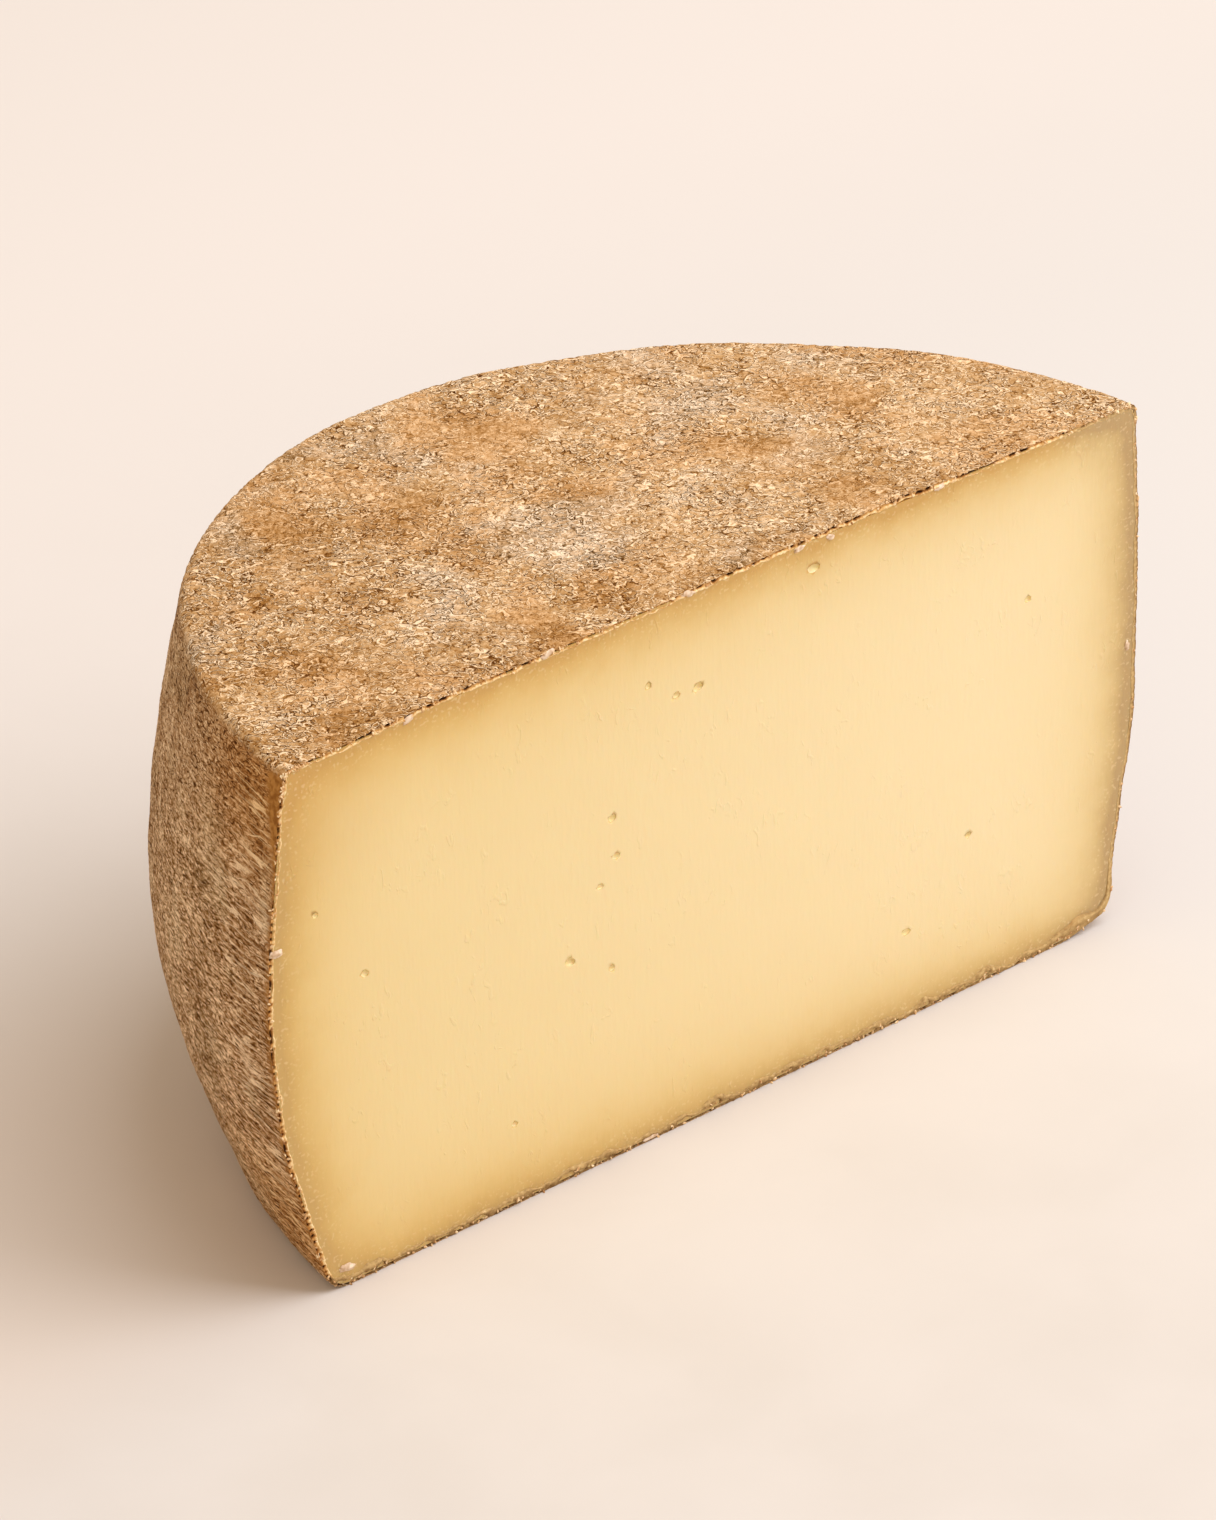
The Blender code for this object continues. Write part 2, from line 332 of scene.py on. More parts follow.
def cut_section(edge, outward, marks):
    """Rows that turn from the rind's surface into the cut, where the rind's section shows, and their pits."""
    width = SECTION_WIDTH * (1 + 0.4 * speckle(edge, SECTION_SWAY_LENGTH, (2.0, 2.0, 2.0)))
    foot = 1 - fade_in(edge[:, 2], *SECTION_FOOT_BAND)
    ragged = speckle(edge, FOOT_RAGGED_LENGTH, (8.0, 3.0, 6.0))
    width = width * (1 + foot * (0.8 + 1.8 * ragged))
    fold = np.exp(-(((edge[:, 0] - FOLD[0]) ** 2 + (edge[:, 2] - FOLD[1]) ** 2) / FOLD_REACH**2))
    width = width * (1 + 1.2 * fold)
    uneven = 1 - 0.8 * fade_in(edge[:, 0], *SECTION_END_BAND)
    ringed = marks["ringed"][0]
    between_rings = ringed * fade_in(-np.cos(2 * math.pi * marks["phase"][0]), 0.5, 0.95)
    rows = []
    pits = []
    for share, sunk, pitted in SECTION_ROWS:
        row = edge - outward * (width * share)[..., None]
        torn = fade_in(speckle(row, PIT_LENGTH, (5.0, 1.0, 8.0)) - 0.10 * foot, 0.02, 0.22)
        pit = pitted * np.maximum(torn * (1 - 0.8 * ringed), between_rings) * uneven
        lumps = speckle(row, SECTION_LUMP_LENGTH) - 0.3
        ridge = FOOT_RISE * foot * fade_in(ragged, -0.2, 0.3) * (share > 0.4)
        rise = (FOLD_RISE * fold + ridge) * (share < 1)
        row[..., 1] = sunk + SECTION_LUMPS * (1 + foot) * uneven * lumps + PIT_DEPTH * (1 + foot) * pit - rise
        rows.append(row)
        pits.append(pit)
    return np.array(rows), np.array(pits)


def rind_patch(grid, normals):
    """The surface of a piece of rind over a grid whose first row is its cut edge, with the way inwards."""
    relief, marks = rind_relief(grid)
    facing = normals.copy()
    facing[0, :, 1] = 0.0
    facing[0] /= np.linalg.norm(facing[0], axis=-1, keepdims=True)
    places = grid + facing * relief[..., None]
    inward = -facing * RIND_THICKNESS
    inward[0, :, 1] += RIND_THICKNESS
    section, pits = cut_section(places[0], facing[0], marks)
    back = np.zeros_like(section)
    back[..., 1] = SECTION_THICKNESS
    for mark, values in marks.items():
        marks[mark] = np.concatenate((np.repeat(values[:1], len(section), axis=0), values))
    shares = np.array(SECTION_ROWS)[:, :1]
    marks["cut"] = np.concatenate((np.repeat(shares, section.shape[1], axis=1), np.zeros_like(relief)))
    # the finish darkens the pits by this mark, as painted shade
    marks["pit"] = np.concatenate((pits, np.zeros_like(relief)))
    return np.concatenate((section, places)), np.concatenate((back, inward)), marks


def closed_slab(name, places, inward, marks, material):
    """A closed piece: a fine visible grid, a coarse hidden one behind it and n-gons round the edges."""
    rows, columns = places.shape[:2]
    hidden = (places + inward)[::COARSE, ::COARSE]
    low_rows, low_columns = hidden.shape[:2]
    outer = np.arange(rows * columns).reshape(rows, columns)
    inner = rows * columns + np.arange(low_rows * low_columns).reshape(low_rows, low_columns)

    def quads(index):
        corners = (index[:-1, :-1], index[:-1, 1:], index[1:, 1:], index[1:, :-1])
        return np.stack(corners, axis=-1).reshape(-1, 4).tolist()

    faces = quads(outer) + [face[::-1] for face in quads(inner)]
    edges = (
        (outer[0], inner[0]),
        (outer[:, -1], inner[:, -1]),
        (outer[-1, ::-1], inner[-1, ::-1]),
        (outer[::-1, 0], inner[::-1, 0]),
    )
    for fine, rough in edges:
        for step in range(len(rough) - 1):
            run = fine[step * COARSE : (step + 1) * COARSE + 1]
            faces.append([rough[step], rough[step + 1], *run[::-1]])

    data = bpy.data.meshes.new(name)
    vertices = np.concatenate((places.reshape(-1, 3), hidden.reshape(-1, 3))) + CUT_MIDDLE
    vertices[:, 2] = np.maximum(vertices[:, 2], 0.0)
    data.from_pydata(vertices.tolist(), [], faces)
    for mark, values in marks.items():
        layer = data.attributes.new(mark, "FLOAT", "POINT")
        every = np.concatenate((values.ravel(), values[::COARSE, ::COARSE].ravel()))
        layer.data.foreach_set("value", every.astype(np.float32))
    data.shade_smooth()
    data.set_sharp_from_angle(angle=SHARP_FROM)
    data.materials.append(material)
    data.validate()
    return put_down(name, data)


def put_down(name, data):
    """A new object in the scene, at the origin."""
    thing = bpy.data.objects.new(name, data)
    bpy.context.scene.collection.objects.link(thing)
    return thing


def turned(grid):
    """A grid with its rows and columns swapped."""
    return grid.swapaxes(0, 1)


def make_heel(material):
    """The rind round the heel, in a right and a left half that meet at the back."""
    bearings = lattice_bearings()
    grid = []
    for row in range(BASE_RIM_ROWS + HEEL_ROWS + TOP_RIM_ROWS + 1):
        distance, height = outline(row, bearings)
        grid.append(np.stack((distance * np.cos(bearings), distance * np.sin(bearings), height), axis=-1))
    grid = np.array(grid)
    grid[:, 0, 1] = grid[:, -1, 1] = 0.0
    normals = outward_normals(grid)
    normals[0] = (0.0, 0.0, -1.0)
    normals[-1] = (0.0, 0.0, 1.0)
    half = len(bearings) // 2
    pieces = []
    for name, columns, order in (
        ("rind_heel_right", slice(0, half + 1), 1),
        ("rind_heel_left", slice(-1, half - 1, -1), -1),
    ):
        places, inward, marks = rind_patch(turned(grid[:, columns]), turned(normals[:, columns]))
        places, inward = (turned(part)[:, ::order] for part in (places, inward))
        marks = {mark: turned(values)[:, ::order] for mark, values in marks.items()}
        pieces.append(closed_slab(name, places, inward, marks, material))
    return pieces


def disc_grid(cells_along, cells_deep, row, height_at):
    """A grid over the half disc inside one row of the heel, at a height given by a function."""
    across = 2 * np.arange(cells_along + 1) / cells_along - 1
    deep = np.arange(cells_deep + 1) / cells_deep
    reach, bearing = half_disc(across[None, :], deep[:, None])
    bearing = np.where(reach == 0, 0.0, bearing)
    distance = reach * outline(row, bearing.ravel())[0].reshape(bearing.shape)
    x = distance * np.cos(bearing)
    y = distance * np.sin(bearing)
    y[0] = 0.0
    return np.stack((x, y, height_at(reach, x, y)), axis=-1)


def close_joints(places, step):
    """Put border points that the heel doesn't have midway between those that it has."""
    for border in (places[:, 0], places[:, -1], places[-1]):
        for part in range(1, step):
            share = part / step
            border[part::step] = (1 - share) * border[:-step:step] + share * border[step::step]


def make_top(material):
    """The rind on the wheel's top, with its slight dome and sags."""

    def height_at(reach, x, y):
        sag = speckle(np.stack((x, y, np.zeros_like(x)), axis=-1), TOP_SAG_LENGTH)
        return WHEEL_HEIGHT + (1 - reach**2) * (TOP_DOME + TOP_SAG * sag)

    last_row = BASE_RIM_ROWS + HEEL_ROWS + TOP_RIM_ROWS
    grid = disc_grid(2 * CELLS_ALONG, 2 * CELLS_DEEP, last_row, height_at)
    normals = np.zeros_like(grid)
    normals[..., 2] = 1.0
    places, inward, marks = rind_patch(grid, normals)
    close_joints(places[len(SECTION_ROWS) :], 2)
    return closed_slab("rind_top", places, inward, marks, material)


def make_base(material):
    """The rind underneath, flat where the wheel stands."""

    def height_at(reach, x, y):
        return np.zeros_like(x)

    grid = disc_grid(2 * CELLS_ALONG, CELLS_DEEP, 0, height_at)[:, ::-1]
    normals = np.zeros_like(grid)
    normals[..., 2] = -1.0
    places, inward, marks = rind_patch(grid, normals)
    back = places[-1]
    back[1::2] = 0.5 * (back[:-1:2] + back[2::2])
    return closed_slab("rind_base", places, inward, marks, material)


# ---------------------------------------------------------------- the paste

PASTE_INSET = 0.0007  # how far the paste's edge lies inside the rind's surface
PASTE_BACK_INSET = 0.0019  # and the hidden rest of it, clear of the rind's lumps
PASTE_CELLS = (225, 125)
PASTE_WAVE = 0.00010
PASTE_WAVE_LENGTH = 0.016
PASTE_SMEAR = 0.000025
PASTE_SMEAR_LENGTH = 0.0016
PASTE_LIFT = 0.8 * MM  # how far the hidden paste is lifted off the floor
PASTE_DROP = 1.4 * MM  # and how far it drops from there under the top
PASTE_LEAST_DEPTH = 2 * MM
FIRST_RADIUS = 0.117  # where the search for the heel behind the cut starts
NEAR_TOP = 6  # power of the height's share that leaves only the part under the top
RIM_BLEND = 0.004  # rounds the corners of the darker paste along the rind
EYES = (  # distance right of the middle, height above the base, width and height
    (0.0229, 0.1190, 0.0028, 0.0020),
    (-0.0076, 0.1032, 0.0022, 0.0019),
    (-0.0134, 0.1036, 0.0016, 0.0012),
    (-0.0206, 0.1085, 0.0014, 0.0012),
    (-0.0303, 0.0816, 0.0018, 0.0015),
    (-0.0294, 0.0723, 0.0018, 0.0014),
    (-0.0336, 0.0667, 0.0016, 0.0012),
    (-0.0417, 0.0523, 0.0021, 0.0019),
    (-0.0308, 0.0462, 0.0014, 0.0013),
    (0.0490, 0.0215, 0.0022, 0.0014),
    (0.0661, 0.0384, 0.0014, 0.0012),
    (0.0820, 0.0894, 0.0017, 0.0014),
    (-0.0936, 0.0713, 0.0018, 0.0014),
    (-0.1053, 0.0897, 0.0013, 0.0012),
    (-0.0567, 0.0197, 0.0015, 0.0012),
)
EYE_DEPTH_SHARE = 0.32
EYE_SEGMENTS = 16
EYE_RINGS = 10


def section_side(bearing):
    """The wheel's side in the plane of the cut, from the base's edge to the top's, inside the rind."""
    rows = range(BASE_RIM_ROWS + HEEL_ROWS + TOP_RIM_ROWS + 1)
    side = np.array([np.ravel(outline(row, np.array([bearing]))) for row in rows])
    side[:, 0] *= math.cos(bearing)
    slope = np.gradient(side, axis=0)
    normal = np.stack((slope[:, 1], -slope[:, 0]), axis=-1) * math.cos(bearing)
    normal /= np.linalg.norm(normal, axis=-1, keepdims=True)
    normal[0] = (0.0, -1.0)
    normal[-1] = (0.0, 1.0)
    return side - PASTE_INSET * normal


def even_steps(line, count):
    """The same line in even steps."""
    run = np.concatenate(([0.0], np.cumsum(np.linalg.norm(np.diff(line, axis=0), axis=-1))))
    steps = np.linspace(0.0, run[-1], count + 1)
    return np.stack([np.interp(steps, run, line[:, axis]) for axis in range(line.shape[1])], axis=-1)


def make_paste(material, eye_material):
    """The paste: a finely waved cut face with the half wheel's body behind it, and its eyes."""
    columns, rows = PASTE_CELLS
    right = even_steps(section_side(0.0), rows)
    left = even_steps(section_side(math.pi), rows)
    across = np.linspace(0.0, 1.0, columns + 1)[None, :, None]
    flat = left[:, None] * (1 - across) + right[:, None] * across
    x = flat[..., 0]
    dome = TOP_DOME * (1 - (2 * across[..., 0] - 1) ** 2)
    under_top = (flat[..., 1] / WHEEL_HEIGHT) ** NEAR_TOP
    z = flat[..., 1] + dome * under_top
    place = np.stack((x, np.zeros_like(x), z), axis=-1)
    y = PASTE_WAVE * speckle(place, PASTE_WAVE_LENGTH)
    y += PASTE_SMEAR * speckle(place * (1, 1, 0.25), PASTE_SMEAR_LENGTH)
    places = np.stack((x, y, z), axis=-1)

    height = np.clip(z, 0.0, WHEEL_HEIGHT)
    turn = np.arccos(np.clip(x / FIRST_RADIUS, -1, 1))
    for _ in range(OUTLINE_PASSES):
        width, lift = base_rim(turn)
        fall = np.clip(1 - height / lift, 0.0, 1.0)
        rim = width * (1 - np.sqrt(1 - fall**2))
        reach = heel_radius(turn, height) - rim - PASTE_BACK_INSET
        deep = np.sqrt(np.maximum(reach**2 - x**2, CUT_BEHIND_AXIS**2))
        turn = np.arctan2(deep, x)
    inward = np.zeros_like(places)
    inward[..., 1] = np.maximum(deep - CUT_BEHIND_AXIS, PASTE_LEAST_DEPTH)
    inward[..., 2] = PASTE_LIFT - (dome + PASTE_DROP) * under_top
    from_rind = (z, WHEEL_HEIGHT + dome - z, x - left[:, :1], right[:, :1] - x)
    nearness = sum(np.exp(-distance / RIM_BLEND) for distance in from_rind)
    marks = {"rim": -RIM_BLEND * np.log(nearness) / MM}
    paste = closed_slab("paste", places, inward, marks, material)
    cut_eyes(paste, eye_material)
    return paste


def cut_eyes(paste, material):
    """Sink the eyes into the cut, each an uneven bowl with its own finish."""
    vertices = []
    faces = []
    for x, z, width, height in EYES:
        mesh = bmesh.new()
        bmesh.ops.create_uvsphere(mesh, u_segments=EYE_SEGMENTS, v_segments=EYE_RINGS, radius=0.5)
        start = len(vertices)
        for vert in mesh.verts:
            uneven = 1 + 0.28 * noise.noise(vert.co * 2.2 + Vector((x, 0, z)) * 900)
            size = Vector((width, 2 * EYE_DEPTH_SHARE * height, height))
            place = vert.co * uneven * size + Vector((x, 0.0, z))
            vertices.append(place + Vector(CUT_MIDDLE))
        faces += [[start + vert.index for vert in face.verts] for face in mesh.faces]
        mesh.free()
    data = bpy.data.meshes.new("eye_cutter")
    data.from_pydata(vertices, [], faces)
    data.shade_smooth()
    data.materials.append(material)
    cutter = put_down("eye_cutter", data)
    cut = paste.modifiers.new("eyes", "BOOLEAN")
    cut.operation = "DIFFERENCE"
    cut.solver = "EXACT"
    cut.material_mode = "TRANSFER"
    cut.object = cutter
    with bpy.context.temp_override(object=paste, active_object=paste):
        bpy.ops.object.modifier_apply(modifier=cut.name)
    bpy.data.objects.remove(cutter)


# ---------------------------------------------------------------- finishes


class Socket:
    """A socket of a material's nodes. Arithmetic on it adds Math nodes."""

    def __init__(self, tree, socket=None):
        self.tree = tree
        self.socket = socket

    def make(self, kind, settings=(), inputs=(), output=0):
        """Add a node, with its settings first and then the values or links of its sockets."""
        node = self.tree.nodes.new(kind)
        for name, value in dict(settings).items():
            if name == "stops":
                ramp = node.color_ramp.elements
                while len(ramp) < len(value):
                    ramp.new(0.5)
                for stop, (place, colour) in zip(ramp, value):
                    stop.position = place
                    stop.color = (*colour, 1.0)
            else:
                setattr(node, name, value)
        for name, value in dict(inputs).items():
            if isinstance(value, Socket):
                self.tree.links.new(value.socket, node.inputs[name])
            else:
                node.inputs[name].default_value = value
        return Socket(self.tree, node.outputs[output])

    def make_from(self, kind, inputs=()):
        """Add a node that takes this as its first input."""
        return self.make(kind, (), {0: self, **dict(inputs)})

    def maths(self, operation, *values):
        return self.make("ShaderNodeMath", {"operation": operation}, dict(enumerate(values)))

    def __add__(self, other):
        return self.maths("ADD", self, other)

    __radd__ = __add__

    def __sub__(self, other):
        return self.maths("SUBTRACT", self, other)

    def __rsub__(self, other):
        return self.maths("SUBTRACT", other, self)

    def __mul__(self, other):
        return self.maths("MULTIPLY", self, other)

    __rmul__ = __mul__

    def __abs__(self):
        return self.maths("ABSOLUTE", self)

    def cosine(self):
        return self.maths("COSINE", self)

    def ramp(self, stops):
        """A colour read from a ramp of places and colours."""
        return self.make("ShaderNodeValToRGB", {"stops": stops}, {"Fac": self})

    def between(self, low, high):
        """0 at low and 1 at high, with a smooth slope between; low may be the higher."""
        settings = {"interpolation_type": "SMOOTHSTEP"}
        return self.make("ShaderNodeMapRange", settings, {"Value": self, "From Min": low, "From Max": high})

    def mix(self, first, second):
        """One colour where this is 0 and another where it is 1."""
        settings = {"data_type": "RGBA"}
        inputs = {0: self}
        for index, colour in ((6, first), (7, second)):
            inputs[index] = colour if isinstance(colour, Socket) else (*colour, 1.0)
        return self.make("ShaderNodeMix", settings, inputs, output=2)

    def mark(self, name):
        """A value stored on the mesh."""
        return self.make("ShaderNodeAttribute", {"attribute_name": name}, output=2)

    def place(self):
        """Where the point lies on the object."""
        return self.make("ShaderNodeTexCoord", output=3)

    def axis(self, index):
        """One coordinate of a place: 0 for x, 1 for y, 2 for z."""
        return self.make("ShaderNodeSeparateXYZ", (), {0: self}, output=index)

    def stretched(self, scale):
        """The same place with its axes scaled."""
        return self.make("ShaderNodeMapping", (), {"Vector": self, "Scale": scale})

    def moved(self, shift):
        """The same place moved along."""
        return self.make("ShaderNodeMapping", (), {"Vector": self, "Location": shift})

    def spun(self, angle):
        """The same place turned about the upright axis."""
        return self.make("ShaderNodeMapping", (), {"Vector": self, "Rotation": (0.0, 0.0, angle)})

    def cloud(self, length, detail=2.0, distortion=0.0, roughness=0.5):
        """Noise from 0 to 1 with features of one length."""
        inputs = {
            "Vector": self,
            "Scale": 1 / length,
            "Detail": detail,
            "Roughness": roughness,
            "Distortion": distortion,
        }
        return self.make("ShaderNodeTexNoise", (), inputs)


def new_finish(name):
    """A material with a Principled shader: the material, its nodes and its shader node."""
    material = bpy.data.materials.new(name)
    material.use_nodes = True
    tree = material.node_tree
    return material, Socket(tree), tree.nodes["Principled BSDF"]


def linear(red, green, blue):
    """A screen colour, 0 to 255, as light."""
    shares = [channel / 255 for channel in (red, green, blue)]
    return tuple(s / 12.92 if s <= 0.04045 else ((s + 0.055) / 1.055) ** 2.4 for s in shares)


def tones(*colours, places=(0.0, 0.3, 0.6, 1.0)):
    """The stops of a ramp: screen colours, 0 to 255, at places from 0 to 1."""
    return tuple((place, linear(*colour)) for place, colour in zip(places, colours))


def wear(shader, name, socket):
    """Link a value or a colour to one of a shader's sockets."""
    socket.tree.links.new(socket.socket, shader.inputs[name])


# Tones of the rind from its crevices to its palest threads, for each kind of patch; the darkest carry painted
# shade in the crevices and the palest partly painted highlight on the ridges
TOP_TONES = tones((94, 50, 8), (156, 108, 52), (202, 161, 111), (255, 223, 182))
OCHRE_TONES = tones((94, 48, 6), (154, 105, 48), (202, 156, 104), (250, 212, 166))
GREY_TONES = tones((88, 56, 20), (152, 115, 70), (203, 167, 126), (253, 226, 192))
HEEL_TONES = tones((78, 40, 6), (140, 94, 46), (191, 149, 106), (255, 224, 185))
WARM_TONES = tones((74, 34, 4), (144, 90, 36), (196, 142, 84), (250, 208, 150))
DUSTY_TONES = tones((84, 52, 20), (146, 108, 66), (194, 158, 116), (248, 220, 182))
SECTION_PLACES = (0.0, 0.4, 0.7, 1.0)
# The section's darkest tones hold the painted shade of its pits, of the groove under the crust and of its
# foot.
SECTION_TONES = tones((60, 34, 14), (168, 110, 54), (222, 174, 108), (254, 230, 178), places=SECTION_PLACES)
END_PLACES = (0.0, 0.5, 0.8, 1.0)
END_TONES = tones((108, 76, 42), (168, 135, 88), (197, 164, 110), (222, 192, 140), places=END_PLACES)
CRUMB_TONES = tones((176, 124, 70), (228, 186, 132), (254, 232, 190), places=(0.3, 0.5, 0.7))
FLAKE_TONES = tones((200, 164, 128), (250, 228, 200), places=(0.3, 0.7))
SKIN_DARK = linear(146, 94, 38)  # smooth brown skin under the top's edge, by the cut
SKIN_PALE = linear(184, 130, 66)

BRUSHED = math.radians(41)  # how far the top's creases run off the cut's direction
CREASES = ((0.0013, 0.0), (0.0019, 0.3), (0.0028, 0.7))  # their lengths, and where each set is drawn
TOP_PALER = (-0.09, 0.06)  # the top grows paler along the cut between these
HEEL_LOWER = (0.105, 0.075)  # the heel's hairs and rings grow stronger down between these heights
HEEL_UPPER = (0.104, 0.121)  # and it darkens up between these
WARM_UPPER = (0.088, 0.118)  # near the cut it turns warmer, up between these
WARM_LOWER = (0.045, 0.015)  # and down between these
SKIN_HEIGHTS = (0.100, 0.123)  # the smooth skin widens up between these
END_OF_CUT = (0.088, 0.103)  # the section turns smooth and greyish towards the cut's right end
FOOT_OF_CUT = (0.005, 0.003)  # and at its foot
# the painted shade at the foot deepens towards the left, between these
FOOT_PAINTED_SHADE = (0.06, -0.03)  # where it darkens towards the left


def top_skin(nodes, place, fine, mottle):
    """Tone and height of the top's skin: creases with pale threads and dark cracks, over fine grain; in the
    tone the thread beside each crack is partly painted highlight on the crease's edge and the crack partly
    painted shade in it.
    """
    bloom = nodes.mark("bloom")
    rough = 0.65 + 0.5 * place.moved((0.0, 0.4, 0.2)).cloud(14 * MM, 2.0).between(0.36, 0.6) + 0.4 * bloom
    creases = 0.0
    for length, shift in CREASES:
        drawn = place.moved((shift, 0.0, 0.0)).spun(BRUSHED).stretched((0.95, 1.3, 1.2))
        wander = drawn.cloud(length, 0.4, 0.6)
        # The dark crack and the pale thread just beside it: partly the rind's own colour, partly painted
        # shade in the crease and painted highlight on its edge.
        crack = 1 - abs(wander - 0.5).between(0.0, 0.035)
        thread = 1 - abs(wander - 0.57).between(0.01, 0.05)
        kept = drawn.cloud(1.6 * length, 1.0).between(0.38, 0.50)
        creases = creases + kept * (0.95 * thread - 0.85 * crack)
    tone = 0.585 + 0.47 * rough * creases + 0.8 * (fine - 0.5) + 0.65 * (mottle - 0.5)
    # Darker where the mesh's grain sinks into crevices: painted shade.
    tone = tone + 0.2 * (nodes.mark("grain") - 0.75) + 0.08 * (place.axis(0).between(*TOP_PALER) - 0.55)
    tone = tone + 0.08 * bloom - 0.05 * nodes.mark("behind").between(8.0, 1.0)
    return tone, 0.35 * rough * creases + 0.3 * fine


def heel_skin(nodes, place, fine, mottle):
    """Tone and height of the heel's skin: fine hairs and gaps, with threads and grooves along the rings; in
    the tone the ridges on the rings' crests are partly painted highlight, and the grooves and gaps painted
    shade.
    """
    ringed = nodes.mark("ringed")
    phase = nodes.mark("phase") + 2.4 * (place.stretched((0.4, 0.4, 1.0)).cloud(5.0 * MM, 1.0) - 0.5)
    wave = (math.tau * phase).cosine()
    far = nodes.mark("behind").between(4.0, 40.0)
    combed = ringed * (1.2 * place.moved((0.0, 0.0, 0.3)).cloud(16 * MM, 2.0) - 0.7 * far).between(0.15, 0.5)
    kept = place.stretched((0.2, 0.2, 1.2)).cloud(3.0 * MM, 1.0)
    ridge = wave.between(0.90, 0.99) * kept.between(0.40, 0.52)
    thread = 1 - abs(place.stretched((0.09, 0.09, 1.0)).cloud(1.5 * MM, 0.5, 0.3) - 0.5).between(0.0, 0.06)
    thread = thread * place.stretched((0.2, 0.2, 1.0)).cloud(4.0 * MM, 1.0).between(0.44, 0.56)
    worn = place.stretched((0.35, 0.35, 1.5)).cloud(1.2 * MM, 1.0)
    groove = wave.between(0.2, -0.9) * worn.between(0.45, 0.6)
    hairs = place.stretched((0.32, 0.32, 1.5)).cloud(0.55 * MM, 1.5, 0.6)
    gap = 1 - abs(place.stretched((0.5, 0.5, 1.2)).cloud(1.3 * MM, 0.5, 0.8) - 0.5).between(0.0, 0.05)
    low = place.axis(2).between(*HEEL_LOWER)
    # Pale ridges on the rings' crests, partly painted highlight, and dark grooves between them, painted
    # shade.
    lines = combed * (1.1 * ridge + 1.2 * thread - 0.2 * groove)
    lines = (lines + ringed * (0.2 * ridge + 0.3 * thread - 0.15 * groove)) * (0.65 + 0.35 * low)
    tone = 0.59 + lines + (1.5 - 0.6 * combed + 0.9 * low) * (hairs - 0.5) + 0.7 * (fine - 0.5)
    # Darker in the gaps, where the bump sinks: painted shade.
    tone = tone + (mottle - 0.5) - (0.5 - 0.35 * combed) * gap - 0.06 * place.axis(2).between(*HEEL_UPPER)
    return tone, 0.8 * lines + hairs + 0.4 * fine - 0.4 * gap


def section_colour(nodes, place, cut):
    """Colour of the rind's own section, darker brown in its pits as painted shade, from its share of the
    band's width.
    """
    end = place.axis(0).between(*END_OF_CUT)
    foot = place.axis(2).between(*FOOT_OF_CUT)
    # The pits, which the mesh sinks, are darkened: painted shade.
    tone = 0.84 + (1.1 - 0.5 * end) * (place.cloud(0.9 * MM, 2.0) - 0.5) - 1.1 * nodes.mark("pit")
    # Darker towards the rind's surface, where the rows sink into a groove under the crust's edge: painted
    # shade.
    tone = tone - (0.3 - 0.25 * end) * cut.between(0.55, 0.25)
    # Darker at the foot, most towards the left: painted shade where the section meets the floor and the
    # wheel's shadow falls.
    tone = tone - foot * (0.13 + 0.2 * cut.between(0.95, 0.5) * place.axis(0).between(*FOOT_PAINTED_SHADE))
    tone = tone - 0.3 * end * cut.between(0.75, 0.9)
    return nodes.maths("MAXIMUM", end, foot).mix(tone.ramp(SECTION_TONES), tone.ramp(END_TONES))


def make_rind_finish():
    """Dry wrinkled rind: pale threads and flakes over brown cracks, in ochre, greyish and dusty patches; the
    threads and cracks are partly painted highlight and painted shade of the relief.
    """
    material, nodes, shader = new_finish("rind")
    place = nodes.place()
    height = place.axis(2)
    heel = nodes.mark("heel")
    behind = nodes.mark("behind")
    bloom = nodes.mark("bloom")
    fine = place.cloud(0.7 * MM, 1.5, 1.5)
    mottle = place.cloud(11 * MM, 4.0, 0.4, 0.6)
    top_tone, top_height = top_skin(nodes, place, fine, mottle)
    heel_tone, heel_height = heel_skin(nodes, place, fine, mottle)

    ochre = (place.cloud(22 * MM, 2.0, 0.5, 0.6) - 0.18 * bloom).between(0.46, 0.62)
    grey = (place.moved((0.31, 0.0, 0.0)).cloud(22 * MM, 2.0, 0.5, 0.6) + 0.18 * bloom).between(0.52, 0.68)
    top = grey.mix(ochre.mix(top_tone.ramp(TOP_TONES), top_tone.ramp(OCHRE_TONES)), top_tone.ramp(GREY_TONES))
    dusty = (grey + 0.6 * behind.between(6.0, 30.0)).between(0.1, 1.2)
    warm = behind.between(40.0, 4.0) * (0.9 * height.between(*WARM_UPPER) + 0.9 * height.between(*WARM_LOWER))
    side = dusty.mix(heel_tone.ramp(HEEL_TONES), heel_tone.ramp(DUSTY_TONES))
    colour = heel.mix(top, warm.mix(side, heel_tone.ramp(WARM_TONES)))
    upper = height.between(*SKIN_HEIGHTS)
    reach = 0.3 + 4.5 * upper + 4.0 * upper * (place.cloud(5 * MM) - 0.5)
    skin = heel * (reach - behind).between(-2.0, 1.0)
    colour = skin.mix(colour, place.cloud(1.5 * MM).between(0.35, 0.65).mix(SKIN_DARK, SKIN_PALE))
    cut = nodes.mark("cut")
    exposed = cut.between(0.01, 0.07)
    wear(shader, "Base Color", exposed.mix(colour, section_colour(nodes, place, cut)))
    shader.inputs["Roughness"].default_value = 0.9
    shader.inputs["Specular IOR Level"].default_value = 0.06
    bumps = (top_height * (1 - heel) + heel_height * (1 - 0.7 * skin) * heel) * (1 - 0.8 * exposed)
    wear(shader, "Normal", nodes.make("ShaderNodeBump", (), {"Height": bumps, "Distance": 0.35 * MM}))
    return material


